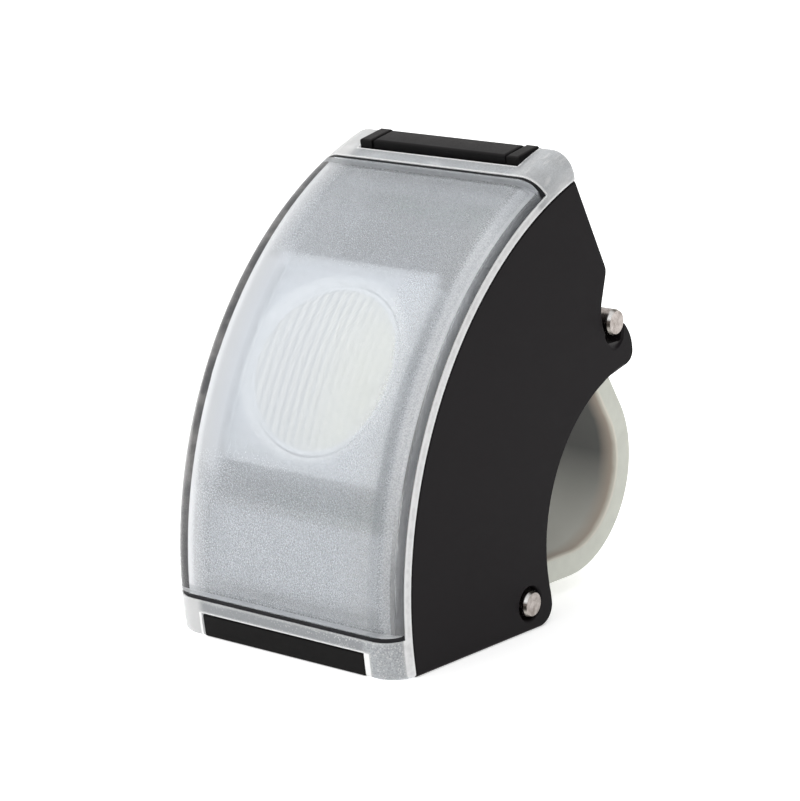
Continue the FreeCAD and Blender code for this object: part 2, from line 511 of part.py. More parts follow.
# ---- write ----
tot = None
for name in sorted(parts):
    s = parts[name].copy()
    s.translate(Vector(0, -ORIGIN_Y, 0))
    n = len(s.Solids)
    bb = s.BoundBox
    print("%-20s solids %d valid %s vol %9.2f  x %.2f..%.2f y %.2f..%.2f z %.2f..%.2f" % (
        name, n, s.isValid(), s.Volume, bb.XMin, bb.XMax, bb.YMin, bb.YMax, bb.ZMin, bb.ZMax))
    s.exportStep("parts/%s.step" % name)
    if tot is None:
        tot = FreeCAD.BoundBox(bb)
    else:
        tot.add(bb)
print("overall x %.3f..%.3f y %.3f..%.3f z %.3f..%.3f" % (tot.XMin, tot.XMax, tot.YMin, tot.YMax, tot.ZMin, tot.ZMax))
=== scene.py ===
import bpy, bmesh
import math
from mathutils import Vector, Matrix


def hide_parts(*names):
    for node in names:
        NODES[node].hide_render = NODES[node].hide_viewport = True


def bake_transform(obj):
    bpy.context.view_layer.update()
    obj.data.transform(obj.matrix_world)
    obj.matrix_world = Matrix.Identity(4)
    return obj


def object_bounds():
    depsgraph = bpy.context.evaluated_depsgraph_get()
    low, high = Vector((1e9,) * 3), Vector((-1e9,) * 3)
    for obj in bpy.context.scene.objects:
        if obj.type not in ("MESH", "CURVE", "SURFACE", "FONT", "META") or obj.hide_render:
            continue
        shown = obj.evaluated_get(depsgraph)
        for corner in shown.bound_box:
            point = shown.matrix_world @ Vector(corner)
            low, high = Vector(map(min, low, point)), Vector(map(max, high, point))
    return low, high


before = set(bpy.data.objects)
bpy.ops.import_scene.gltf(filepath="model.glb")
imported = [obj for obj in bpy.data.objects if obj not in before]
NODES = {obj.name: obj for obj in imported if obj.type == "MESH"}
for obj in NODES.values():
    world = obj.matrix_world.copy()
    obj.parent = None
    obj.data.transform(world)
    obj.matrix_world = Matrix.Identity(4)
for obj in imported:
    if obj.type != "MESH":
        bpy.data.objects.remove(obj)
cad_lo, cad_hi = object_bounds()
MM = 0.001

# ------------------------------------------------------------------ node helpers
def new_mat(name):
    m = bpy.data.materials.new(name)
    m.use_nodes = True
    nt = m.node_tree
    for n in list(nt.nodes):
        nt.nodes.remove(n)
    out = nt.nodes.new("ShaderNodeOutputMaterial")
    return m, nt, out


def coords(nt, scale=(1, 1, 1), rot=(0, 0, 0), loc=(0, 0, 0)):
    tc = nt.nodes.new("ShaderNodeTexCoord")
    mp = nt.nodes.new("ShaderNodeMapping")
    mp.inputs["Scale"].default_value = scale
    mp.inputs["Rotation"].default_value = rot
    mp.inputs["Location"].default_value = loc
    nt.links.new(tc.outputs["Object"], mp.inputs["Vector"])
    return mp.outputs["Vector"]


def noise(nt, scale, detail=2.0, rough=0.5, vec=None, distortion=0.0):
    n = nt.nodes.new("ShaderNodeTexNoise")
    n.inputs["Scale"].default_value = scale
    n.inputs["Detail"].default_value = detail
    n.inputs["Roughness"].default_value = rough
    n.inputs["Distortion"].default_value = distortion
    nt.links.new(vec if vec is not None else coords(nt), n.inputs["Vector"])
    return n.outputs["Fac"]


def voronoi(nt, scale, vec=None, feature="F1", out="Distance", rand=1.0):
    n = nt.nodes.new("ShaderNodeTexVoronoi")
    n.feature = feature
    n.inputs["Scale"].default_value = scale
    n.inputs["Randomness"].default_value = rand
    nt.links.new(vec if vec is not None else coords(nt), n.inputs["Vector"])
    return n.outputs[out]


def ramp(nt, fac, stops):
    n = nt.nodes.new("ShaderNodeValToRGB")
    el = n.color_ramp.elements
    while len(el) > 1:
        el.remove(el[-1])
    el[0].position = stops[0][0]
    el[0].color = tuple(stops[0][1]) + (1,) if len(stops[0][1]) == 3 else stops[0][1]
    for p, c in stops[1:]:
        e = el.new(p)
        e.color = tuple(c) + (1,) if len(c) == 3 else c
    nt.links.new(fac, n.inputs["Fac"])
    return n.outputs["Color"]


def remap(nt, v, a, b, c, d, clamp=True):
    n = nt.nodes.new("ShaderNodeMapRange")
    n.clamp = clamp
    n.inputs["From Min"].default_value = a
    n.inputs["From Max"].default_value = b
    n.inputs["To Min"].default_value = c
    n.inputs["To Max"].default_value = d
    nt.links.new(v, n.inputs["Value"])
    return n.outputs["Result"]


def math_n(nt, op, a, b=None, c=None):
    n = nt.nodes.new("ShaderNodeMath")
    n.operation = op
    for i, v in enumerate((a, b, c)):
        if v is None:
            continue
        if isinstance(v, (int, float)):
            n.inputs[i].default_value = v
        else:
            nt.links.new(v, n.inputs[i])
    return n.outputs[0]


def bump(nt, height, strength, distance, normal=None):
    n = nt.nodes.new("ShaderNodeBump")
    n.inputs["Strength"].default_value = strength
    n.inputs["Distance"].default_value = distance
    nt.links.new(height, n.inputs["Height"])
    if normal is not None:
        nt.links.new(normal, n.inputs["Normal"])
    return n.outputs["Normal"]


def mix_color(nt, fac, a, b):
    n = nt.nodes.new("ShaderNodeMix")
    n.data_type = "RGBA"
    for sock, v in ((n.inputs[0], fac), (n.inputs[6], a), (n.inputs[7], b)):
        if isinstance(v, (int, float)):
            sock.default_value = v
        elif isinstance(v, (tuple, list)):
            sock.default_value = tuple(v) + (1,) if len(v) == 3 else v
        else:
            nt.links.new(v, sock)
    return n.outputs[2]


def mix_shader(nt, fac, a, b):
    n = nt.nodes.new("ShaderNodeMixShader")
    if isinstance(fac, (int, float)):
        n.inputs[0].default_value = fac
    else:
        nt.links.new(fac, n.inputs[0])
    nt.links.new(a, n.inputs[1])
    nt.links.new(b, n.inputs[2])
    return n.outputs[0]


def principled(nt, **kw):
    n = nt.nodes.new("ShaderNodeBsdfPrincipled")
    for k, v in kw.items():
        s = n.inputs[k.replace("_", " ")]
        if isinstance(v, (int, float)):
            s.default_value = v
        elif isinstance(v, (tuple, list)):
            s.default_value = tuple(v) + (1,) if len(v) == 3 and s.type == "RGBA" else v
        else:
            nt.links.new(v, s)
    return n


def place(nt):
    """Object coordinates as separate x, y, z sockets."""
    tc = nt.nodes.new("ShaderNodeTexCoord")
    sp = nt.nodes.new("ShaderNodeSeparateXYZ")
    nt.links.new(tc.outputs["Object"], sp.inputs[0])
    return sp.outputs[0], sp.outputs[1], sp.outputs[2]


def round_place(nt, cy=0.01915, cz=0.0087):
    """Distance from the middle plane, distance from an axis along X, and the angle round it in degrees."""
    x, y, z = place(nt)
    dy, dz = math_n(nt, "SUBTRACT", y, cy), math_n(nt, "SUBTRACT", z, cz)
    r = math_n(nt, "SQRT", math_n(nt, "ADD", math_n(nt, "MULTIPLY", dy, dy), math_n(nt, "MULTIPLY", dz, dz)))
    th = math_n(nt, "MULTIPLY", math_n(nt, "ARCTAN2", dz, math_n(nt, "MULTIPLY", dy, -1.0)), 57.29578)
    return math_n(nt, "ABSOLUTE", x), r, math_n(nt, "SUBTRACT", 180.0, th)


def both(nt, a, b):
    return math_n(nt, "MULTIPLY", a, b)


def plastic(name, col, col2, rough=(0.45, 0.6), grain=0.00002, grain_scale=9000, spec=0.35, spot=900):
    """Moulded plastic: fine spark-eroded grain, and slow drift in colour and gloss."""
    m, nt, out = new_mat(name)
    slow = noise(nt, spot, 3, 0.6)
    fine = noise(nt, grain_scale, 2, 0.6)
    c = mix_color(nt, remap(nt, slow, 0.35, 0.65, 0, 1), col, col2)
    r = remap(nt, math_n(nt, "ADD", math_n(nt, "MULTIPLY", slow, 0.5), math_n(nt, "MULTIPLY", fine, 0.5)), 0.3, 0.7, rough[0], rough[1])
    p = principled(nt, Base_Color=c, Roughness=r, Normal=bump(nt, fine, 1.0, grain))
    p.inputs["Specular IOR Level"].default_value = spec
    nt.links.new(p.outputs[0], out.inputs["Surface"])
    return m


def metal(name, col, rough, axis_scale, strength=0.000004):
    m, nt, out = new_mat(name)
    v = coords(nt, scale=axis_scale)
    lines = noise(nt, 1.0, 3, 0.6, v)
    cloud = noise(nt, 700, 2, 0.5)
    c = mix_color(nt, remap(nt, cloud, 0.3, 0.7, 0, 1), tuple(x * 0.9 for x in col), col)
    r = remap(nt, lines, 0.3, 0.7, rough[0], rough[1])
    p = principled(nt, Base_Color=c, Metallic=1.0, Roughness=r, Normal=bump(nt, lines, 1.0, strength))
    nt.links.new(p.outputs[0], out.inputs["Surface"])
    return m


def shadow_clear(nt, shader, tint):
    """Lamps shine through: shadow rays meet a tinted clear film in place of the shader."""
    t = nt.nodes.new("ShaderNodeBsdfTransparent")
    t.inputs["Color"].default_value = tuple(tint) + (1,)
    lp = nt.nodes.new("ShaderNodeLightPath")
    return mix_shader(nt, lp.outputs["Is Shadow Ray"], shader, t.outputs[0])


def veil(nt, c, through=0.5):
    """Light scattered by a frosted surface, part of it back and part onward."""
    d = nt.nodes.new("ShaderNodeBsdfDiffuse")
    nt.links.new(c, d.inputs["Color"])
    tl = nt.nodes.new("ShaderNodeBsdfTranslucent")
    nt.links.new(c, tl.inputs["Color"])
    return mix_shader(nt, through, d.outputs[0], tl.outputs[0])


def specks(nt, scale, col, where, c):
    """Adds small bright points to the colour c where the socket where is high."""
    sep = nt.nodes.new("ShaderNodeSeparateColor")
    nt.links.new(voronoi(nt, scale, out="Color"), sep.inputs[0])
    near = remap(nt, voronoi(nt, scale), 0.5, 0.28, 0, 1)
    pick = remap(nt, sep.outputs[1], 0.45, 0.7, 0, 1)
    return mix_color(nt, both(nt, where, both(nt, near, pick)), c, col)


def sparkle(nt, scale, col, contrast, strong=None, high=0.24):
    """Colour of a spark-eroded frosting: fine bright and dark grains over slow cloudiness. strong is a socket that
    says where the grains stand out more, up to the contrast high."""
    sep = nt.nodes.new("ShaderNodeSeparateColor")
    nt.links.new(voronoi(nt, scale, out="Color"), sep.inputs[0])
    grain = remap(nt, noise(nt, scale * 0.62, 1, 0.5), 0.3, 0.7, 0, 1)
    slow = noise(nt, 260, 2, 0.5)
    g = math_n(nt, "ADD", math_n(nt, "MULTIPLY", sep.outputs[0], 0.35), math_n(nt, "MULTIPLY", grain, 0.5))
    g = math_n(nt, "ADD", g, math_n(nt, "MULTIPLY", slow, 0.15))
    c = mix_color(nt, g, tuple(x * (1 - contrast) for x in col), tuple(min(1, x * (1 + contrast)) for x in col))
    if strong is not None:
        k = high
        wide = mix_color(nt, g, tuple(x * (1 - k) for x in col), tuple(min(1, x * (1 + k)) for x in col))
        c = mix_color(nt, strong, c, wide)
    return c, g


def frost_zones(nt, x, th):
    """Where the frosting's grains stand out: not over the bright optic, more above and below it, most at the right."""
    zone = math_n(nt, "MAXIMUM", remap(nt, th, 142.0, 132.0, 0, 0.33), remap(nt, th, 157.5, 169.0, 0, 0.37))
    zone = math_n(nt, "MAXIMUM", zone, both(nt, remap(nt, x, 0.0040, 0.0116, 0, 1), remap(nt, th, 138.0, 168.0, 0.8, 1.1)))
    u = math_n(nt, "MULTIPLY", math_n(nt, "SUBTRACT", th, 150.3), 0.000703)
    rho = math_n(nt, "SQRT", math_n(nt, "ADD", both(nt, x, x), both(nt, u, u)))
    return both(nt, zone, remap(nt, rho, 0.0086, 0.0102, 0.1, 1))


def grain_rough(nt, grain, strong, base, swing):
    """Roughness of the frosting, grain by grain: the swing is full where the grains stand out and slight elsewhere."""
    gain = math_n(nt, "MINIMUM", remap(nt, strong, 0.0, 0.33, 0.08, 0.85, clamp=False), 1.7)
    r = math_n(nt, "MULTIPLY", both(nt, math_n(nt, "SUBTRACT", grain, 0.5), gain), swing)
    return math_n(nt, "MAXIMUM", math_n(nt, "ADD", r, remap(nt, strong, 0.0, 0.3, base * 0.42, base)), 0.06)


def window_plastic(name, haze=0.28, col=(0.842, 0.868, 0.908)):
    """Clear window, polished outside, with the faces of its hollow frosted, more so where they turn round to the
    sides. Painted shade darkens the frosting toward the top and in a strip on the right, and painted light makes it
    paler on the left. Dark underneath its side skirts, partly the dark seal pressing against them and partly painted
    shade, with painted light making it lighter toward the top on the left."""
    m, nt, out = new_mat(name)
    fine = noise(nt, 5000, 2, 0.6)
    g = nt.nodes.new("ShaderNodeBsdfGlass")
    g.inputs["Color"].default_value = (0.985, 0.988, 0.99, 1)
    g.inputs["IOR"].default_value = 1.49
    nt.links.new(remap(nt, fine, 0.3, 0.7, 0.015, 0.05), g.inputs["Roughness"])
    nt.links.new(bump(nt, noise(nt, 900, 2, 0.5), 1.0, 0.0000015), g.inputs["Normal"])
    x, y, z = place(nt)
    ax, r, th = round_place(nt)
    strong = frost_zones(nt, x, th)
    c, grain = sparkle(nt, 12500, col, 0.015, strong)
    # painted shade: the frosting darker toward the top of the hollow
    c = mix_color(nt, remap(nt, th, 127.0, 118.0, 0, 0.75), c, tuple(v * 0.7 for v in col))
    # painted shade: a darker strip on the right side
    painted_shade_strip = both(nt, both(nt, remap(nt, x, 0.0108, 0.0113, 0, 1), remap(nt, x, 0.0127, 0.0122, 0, 1)), remap(nt, th, 133.0, 140.0, 0, 0.9))
    c = mix_color(nt, painted_shade_strip, c, tuple(v * 0.71 for v in col))
    # painted light: the frosting paler toward the left edge
    c = mix_color(nt, remap(nt, x, -0.0100, -0.0118, 0, 0.8), c, (0.87, 0.878, 0.886))
    rf = nt.nodes.new("ShaderNodeBsdfGlass")
    rf.inputs["Color"].default_value = (0.985, 0.988, 0.99, 1)
    rf.inputs["IOR"].default_value = 1.49
    nt.links.new(grain_rough(nt, grain, strong, 0.26, 0.26), rf.inputs["Roughness"])
    inner = mix_shader(nt, remap(nt, ax, 0.0118, 0.0130, haze, 0.55), rf.outputs[0], veil(nt, c, 0.5))
    by_plate = both(nt, remap(nt, th, 131.0, 136.0, 0, 1), remap(nt, th, 172.0, 166.0, 0, 1))
    glow_l = math_n(nt, "MAXIMUM", remap(nt, x, -0.0100, -0.0126, 0, 0.78), both(nt, remap(nt, x, -0.0086, -0.0102, 0, 0.62), by_plate))
    glow_r = remap(nt, x, 0.0119, 0.0124, 0, 0.66)
    glow = math_n(nt, "MAXIMUM", glow_l, both(nt, glow_r, remap(nt, th, 160.0, 178.0, 1, 0.3)))
    inner = mix_shader(nt, glow, inner, veil(nt, c, 0.12))
    mask = both(nt, math_n(nt, "LESS_THAN", ax, 0.01347), math_n(nt, "LESS_THAN", r, 0.04172))
    body = mix_shader(nt, mask, g.outputs[0], inner)
    foot = both(nt, math_n(nt, "GREATER_THAN", ax, 0.01302), math_n(nt, "LESS_THAN", r, 0.041335))
    weak = math_n(nt, "ADD", remap(nt, th, 150.0, 182.0, 0.12, 0.5), both(nt, remap(nt, x, 0.0131, 0.0146, 0, 1), remap(nt, th, 150.0, 182.0, 0.5, 0.22)))
    weak = both(nt, weak, math_n(nt, "MAXIMUM", remap(nt, x, 0.0132, 0.0137, 0, 1), remap(nt, th, 165.0, 176.0, 0, 1)))
    foot = both(nt, foot, math_n(nt, "MAXIMUM", weak, math_n(nt, "LESS_THAN", x, 0.0)))
    ends = both(nt, math_n(nt, "LESS_THAN", r, 0.0429), math_n(nt, "MAXIMUM", math_n(nt, "LESS_THAN", th, 116.13), math_n(nt, "GREATER_THAN", th, 185.47)))
    body = mix_shader(nt, math_n(nt, "MULTIPLY", ends, 0.6), body, veil(nt, c, 0.3))
    face = both(nt, math_n(nt, "LESS_THAN", x, -0.01493), remap(nt, th, 166.0, 182.0, 0.7, 0.25))
    body = mix_shader(nt, face, body, veil(nt, mix_color(nt, fine, (0.72, 0.70, 0.68), (0.85, 0.84, 0.83)), 0.6))
    high = remap(nt, th, 166.0, 181.0, 1, 0)
    # near black under the side skirts: partly the dark seal pressing on them, partly painted shade
    dark = mix_color(nt, fine, (0.016, 0.016, 0.018), (0.034, 0.034, 0.038))
    # painted light: lighter toward the top on the left, with a pale outer edge and pale patches
    dark = mix_color(nt, both(nt, math_n(nt, "LESS_THAN", x, 0.0), math_n(nt, "MULTIPLY", high, 0.8)), dark, (0.070, 0.069, 0.072))
    dark = mix_color(nt, both(nt, remap(nt, x, -0.0136, -0.0146, 0, 1), math_n(nt, "ADD", math_n(nt, "MULTIPLY", high, 0.62), 0.36)), dark, (0.76, 0.73, 0.70))
    spot = both(nt, both(nt, remap(nt, noise(nt, 500, 2, 0.55), 0.42, 0.66, 0, 0.3), math_n(nt, "LESS_THAN", x, 0.0)), math_n(nt, "ADD", math_n(nt, "MULTIPLY", high, 0.85), 0.15))
    dark = mix_color(nt, spot, dark, (0.50, 0.47, 0.45))
    dk = principled(nt, Base_Color=dark, Roughness=0.6)
    dk.inputs["Specular IOR Level"].default_value = 0.2
    body = mix_shader(nt, foot, body, dk.outputs[0])
    nt.links.new(shadow_clear(nt, body, (0.85, 0.86, 0.87)), out.inputs["Surface"])
    return m


def edge_mask(nt, radius, lo=0.0, hi=0.25):
    """1 along the edges of a solid, 0 on its flats: how far a rounded normal turns from the plain one."""
    b = nt.nodes.new("ShaderNodeBevel")
    b.samples = 6
    b.inputs["Radius"].default_value = radius
    g = nt.nodes.new("ShaderNodeNewGeometry")
    d = nt.nodes.new("ShaderNodeVectorMath")
    d.operation = "DOT_PRODUCT"
    nt.links.new(b.outputs["Normal"], d.inputs[0])
    nt.links.new(g.outputs["Normal"], d.inputs[1])
    return remap(nt, math_n(nt, "SUBTRACT", 1.0, d.outputs["Value"]), lo, hi, 0, 1)


def shell_plastic(name, milk=0.62, col=(0.60, 0.625, 0.65)):
    """Clear plastic with frosted inner faces: a milky scatter with fine grains under a glossy skin, clearer
    in the two upper corners, where painted light makes it paler, most on the left, with painted highlight streaks over
    a darker base. Painted light makes it paler on the far left, and a painted highlight makes it bright along its edges
    and round the bar's ends, where light leaves the plastic."""
    m, nt, out = new_mat(name)
    x, y, z = place(nt)
    c, grain = sparkle(nt, 11000, col, 0.2, remap(nt, x, 0.004, 0.0112, 0.1, 0.8), 0.48)
    ax, r, th = round_place(nt)
    low = both(nt, remap(nt, th, 186.1, 186.4, 0, 1), math_n(nt, "LESS_THAN", r, 0.0455))
    c = mix_color(nt, both(nt, low, remap(nt, ax, 0.0112, 0.0106, 0, 0.8)), c, tuple(v * 0.66 for v in col))
    c = specks(nt, 4800, (1.0, 1.0, 1.0), both(nt, low, remap(nt, x, -0.004, 0.0112, 0.25, 0.95)), c)
    cx = nt.nodes.new("ShaderNodeCombineXYZ")
    nt.links.new(math_n(nt, "MULTIPLY", ax, 1700.0), cx.inputs[0])
    nt.links.new(math_n(nt, "MULTIPLY", r, 900.0), cx.inputs[1])
    nt.links.new(math_n(nt, "MULTIPLY", th, 0.35), cx.inputs[2])
    # painted highlight: streaks in the two upper corners over a darker base; painted light makes the corners paler,
    # more on the left
    highlight_streaks = noise(nt, 1.0, 3, 0.65, cx.outputs[0])
    corner = both(nt, remap(nt, ax, 0.0098, 0.0112, 0, 1), remap(nt, th, 117.5, 115.5, 0, 1))
    c = mix_color(nt, both(nt, corner, remap(nt, highlight_streaks, 0.36, 0.6, 0.45, 0)), c, tuple(v * 0.85 for v in col))
    c = mix_color(nt, both(nt, corner, math_n(nt, "ADD", 0.32, math_n(nt, "MULTIPLY", math_n(nt, "LESS_THAN", x, 0.0), 0.33))), c, (0.96, 0.96, 0.955))
    c = mix_color(nt, both(nt, corner, remap(nt, highlight_streaks, 0.54, 0.68, 0, 0.8)), c, (0.95, 0.95, 0.95))
    # painted light: paler toward the left edge
    c = mix_color(nt, remap(nt, x, -0.0104, -0.0114, 0, 0.85), c, (0.96, 0.96, 0.955))
    side = both(nt, remap(nt, ax, 0.0146, 0.01475, 0, 1), remap(nt, th, 116.0, 119.0, 0.35, 1))
    c = mix_color(nt, side, c, mix_color(nt, remap(nt, noise(nt, 1500, 2, 0.5), 0.35, 0.65, 0, 1), (0.76, 0.76, 0.76), (0.88, 0.88, 0.88)))
    # painted highlight: a bright outline round the bar's ends
    lip = both(nt, math_n(nt, "MAXIMUM", remap(nt, ax, 0.0113, 0.0111, 0, 1), both(nt, math_n(nt, "GREATER_THAN", x, 0.0), remap(nt, ax, 0.0118, 0.0115, 0, 1))), both(nt, math_n(nt, "GREATER_THAN", ax, 0.01082), remap(nt, z, 0.0029, 0.0026, 0, 1)))
    c = mix_color(nt, lip, c, (0.97, 0.97, 0.965))
    # painted highlight: bright along the edges
    em = edge_mask(nt, 0.0005, 0.0, 0.07)
    em = both(nt, em, math_n(nt, "SUBTRACT", 1.0, both(nt, remap(nt, th, 185.9, 186.1, 0, 0.45), remap(nt, th, 187.4, 187.0, 0, 1))))
    c = mix_color(nt, em, c, (0.97, 0.97, 0.965))
    g = nt.nodes.new("ShaderNodeBsdfGlass")
    g.inputs["Color"].default_value = (0.985, 0.988, 0.99, 1)
    g.inputs["IOR"].default_value = 1.49
    nt.links.new(remap(nt, grain, 0.1, 0.9, 0.05, 0.16), g.inputs["Roughness"])
    gl = nt.nodes.new("ShaderNodeBsdfGlossy")
    gl.inputs["Color"].default_value = (1, 1, 1, 1)
    nt.links.new(remap(nt, grain, 0.1, 0.9, 0.08, 0.18), gl.inputs["Roughness"])
    fr = nt.nodes.new("ShaderNodeFresnel")
    fr.inputs["IOR"].default_value = 1.45
    skin = mix_shader(nt, fr.outputs[0], veil(nt, c, 0.35), gl.outputs[0])
    share = math_n(nt, "MAXIMUM", math_n(nt, "ADD", milk, math_n(nt, "MULTIPLY", corner, 0.06)), math_n(nt, "MAXIMUM", side, math_n(nt, "MAXIMUM", em, lip)))
    body = mix_shader(nt, share, g.outputs[0], skin)
    nt.links.new(shadow_clear(nt, body, (0.8, 0.82, 0.84)), out.inputs["Surface"])
    return m


def frosted(name, haze=0.6, col=(0.842, 0.868, 0.908), grain_scale=12500, rough=0.25, contrast=0.015):
    """Frosted sheet: part of the light passes blurred, the rest is scattered by fine grains that sparkle."""
    m, nt, out = new_mat(name)
    x, y, z = place(nt)
    ax, r, th = round_place(nt)
    strong = frost_zones(nt, x, th)
    c, grain = sparkle(nt, grain_scale, col, contrast, strong)
    # painted shade: a darker strip on the right side
    painted_shade_strip = both(nt, both(nt, remap(nt, x, 0.0107, 0.0112, 0, 1), remap(nt, x, 0.0128, 0.0123, 0, 1)), remap(nt, th, 133.0, 140.0, 0, 0.9))
    c = mix_color(nt, painted_shade_strip, c, tuple(v * 0.73 for v in col))
    # painted shade: darker toward the top
    c = mix_color(nt, remap(nt, th, 127.0, 118.0, 0, 0.75), c, tuple(v * 0.7 for v in col))
    rf = nt.nodes.new("ShaderNodeBsdfGlass")
    rf.inputs["Color"].default_value = (0.985, 0.988, 0.99, 1)
    rf.inputs["IOR"].default_value = 1.06
    nt.links.new(grain_rough(nt, grain, strong, rough, 0.22), rf.inputs["Roughness"])
    gap = both(nt, remap(nt, th, 165.0, 167.0, 0, 1), remap(nt, th, 173.0, 171.0, 0, 1))
    body = mix_shader(nt, math_n(nt, "ADD", haze, math_n(nt, "MULTIPLY", gap, 0.05)), rf.outputs[0], veil(nt, c, 0.5))
    # painted light: a pale band over the plate's top edge hides the shade in the gap above it
    lap = both(nt, both(nt, remap(nt, th, 134.1, 134.5, 0, 1), remap(nt, th, 137.0, 136.2, 0, 1)), remap(nt, ax, 0.0106, 0.0099, 0, 0.43))
    body = mix_shader(nt, lap, body, veil(nt, mix_color(nt, grain, (0.78, 0.80, 0.83), (0.86, 0.88, 0.91)), 0.2))
    nt.links.new(shadow_clear(nt, body, (0.78, 0.79, 0.8)), out.inputs["Surface"])
    return m


def cheek_plastic(name):
    """Satin black: painted shade darker along the front rim, a painted highlight as a thin light line along the other
    edges, polished in the pin's slot.
    """
    m, nt, out = new_mat(name)
    slow = noise(nt, 500, 3, 0.6)
    fine = noise(nt, 9000, 2, 0.6)
    c = mix_color(nt, remap(nt, slow, 0.35, 0.65, 0, 1), (0.0086, 0.0072, 0.0081), (0.0100, 0.0086, 0.0095))
    em = edge_mask(nt, 0.00022, 0.02, 0.22)
    ax, r, th = round_place(nt)
    front = math_n(nt, "GREATER_THAN", r, 0.0392)
    # painted shade: darker along the front rim's edge
    c = mix_color(nt, both(nt, em, front), c, (0.003, 0.0026, 0.0027))
    # painted highlight: a thin light line along the other edges
    c = mix_color(nt, both(nt, em, math_n(nt, "SUBTRACT", 1.0, front)), c, (0.028, 0.026, 0.026))
    x, y, z = place(nt)
    dy, dz = math_n(nt, "SUBTRACT", y, 0.0143), math_n(nt, "SUBTRACT", z, 0.0302)
    d = math_n(nt, "SQRT", math_n(nt, "ADD", both(nt, dy, dy), both(nt, dz, dz)))
    slot = both(nt, math_n(nt, "LESS_THAN", d, 0.0026), math_n(nt, "LESS_THAN", ax, 0.01496))
    ro = remap(nt, math_n(nt, "ADD", math_n(nt, "MULTIPLY", slow, 0.5), math_n(nt, "MULTIPLY", fine, 0.5)), 0.3, 0.7, 0.42, 0.56)
    ro = math_n(nt, "SUBTRACT", ro, math_n(nt, "MULTIPLY", slot, 0.3))
    p = principled(nt, Base_Color=c, Roughness=ro, Normal=bump(nt, fine, 1.0, 0.00001))
    p.inputs["Specular IOR Level"].default_value = 0.06
    nt.links.new(p.outputs[0], out.inputs["Surface"])
    return m


def button_plastic(name, top=(0.016, 0.0149, 0.0146), back=(0.045, 0.042, 0.040), front=(0.0035, 0.0032, 0.0034)):
    """Satin black moulding, with a painted sheen making it paler toward the back of its top, and painted shade making
    it near black on its upright faces.
    """
    m, nt, out = new_mat(name)
    slow = noise(nt, 450, 3, 0.6)
    fine = noise(nt, 7000, 2, 0.6)
    x, y, z = place(nt)
    along = math_n(nt, "ADD", y, math_n(nt, "MULTIPLY", math_n(nt, "SUBTRACT", slow, 0.5), 0.0008))
    # painted sheen: paler toward the back of the top
    c = mix_color(nt, remap(nt, along, 0.0026, 0.0058, 0, 1), top, back)
    c = mix_color(nt, remap(nt, fine, 0.3, 0.7, 0, 1), c, tuple(v * 1.3 for v in top))
    # painted shade: faces turned away from up, by their normal, near black
    tc = nt.nodes.new("ShaderNodeTexCoord")
    d = nt.nodes.new("ShaderNodeVectorMath")
    d.operation = "DOT_PRODUCT"
    d.inputs[1].default_value = (0.0, -0.2079, 0.9781)
    nt.links.new(tc.outputs["Normal"], d.inputs[0])
    c = mix_color(nt, remap(nt, d.outputs["Value"], 0.25, 0.8, 0, 1), front, c)
    ro = remap(nt, math_n(nt, "ADD", math_n(nt, "MULTIPLY", slow, 0.5), math_n(nt, "MULTIPLY", fine, 0.5)), 0.3, 0.7, 0.42, 0.56)
    p = principled(nt, Base_Color=c, Roughness=ro, Normal=bump(nt, fine, 1.0, 0.000008))
    p.inputs["Specular IOR Level"].default_value = 0.09
    nt.links.new(p.outputs[0], out.inputs["Surface"])
    return m


def optic_plastic(name):
    """Clear ribbed optic over its pale seat: shaded in the valleys between the ribs, warmer to the right, pale rim."""
    m, nt, out = new_mat(name)
    x, y, z = place(nt)
    ax, r, th = round_place(nt)
    u = math_n(nt, "MULTIPLY", math_n(nt, "SUBTRACT", th, 150.3), 0.000703)
    rho = math_n(nt, "SQRT", math_n(nt, "ADD", both(nt, x, x), both(nt, u, u)))
    slow = noise(nt, 600, 3, 0.6)
    c = mix_color(nt, remap(nt, x, -0.004, 0.006, 0, 1), (1.0, 0.955, 0.86), (1.0, 0.955, 0.77))
    c = mix_color(nt, remap(nt, slow, 0.3, 0.7, 0, 0.4), c, (0.95, 0.92, 0.85))
    pos = math_n(nt, "FRACT", math_n(nt, "DIVIDE", math_n(nt, "ADD", x, 0.008925), 0.00105))
    off = math_n(nt, "ABSOLUTE", math_n(nt, "SUBTRACT", pos, 0.5))
    fade = math_n(nt, "MAXIMUM", remap(nt, x, -0.0015, 0.003, 1, 0.25), remap(nt, th, 145.0, 141.0, 0, 0.8))
    valley = both(nt, remap(nt, off, 0.16, 0.44, 0, 1), fade)
    c = mix_color(nt, valley, c, (0.74, 0.73, 0.70))
    c = mix_color(nt, remap(nt, rho, 0.00845, 0.00858, 0, 1), c, (0.99, 0.98, 0.96))
    ro = remap(nt, slow, 0.3, 0.7, 0.28, 0.42)
    p = principled(nt, Base_Color=c, Roughness=ro, Normal=bump(nt, noise(nt, 4000, 2, 0.5), 1.0, 0.000005))
    p.inputs["Specular IOR Level"].default_value = 0.5
    nt.links.new(p.outputs[0], out.inputs["Surface"])
    return m


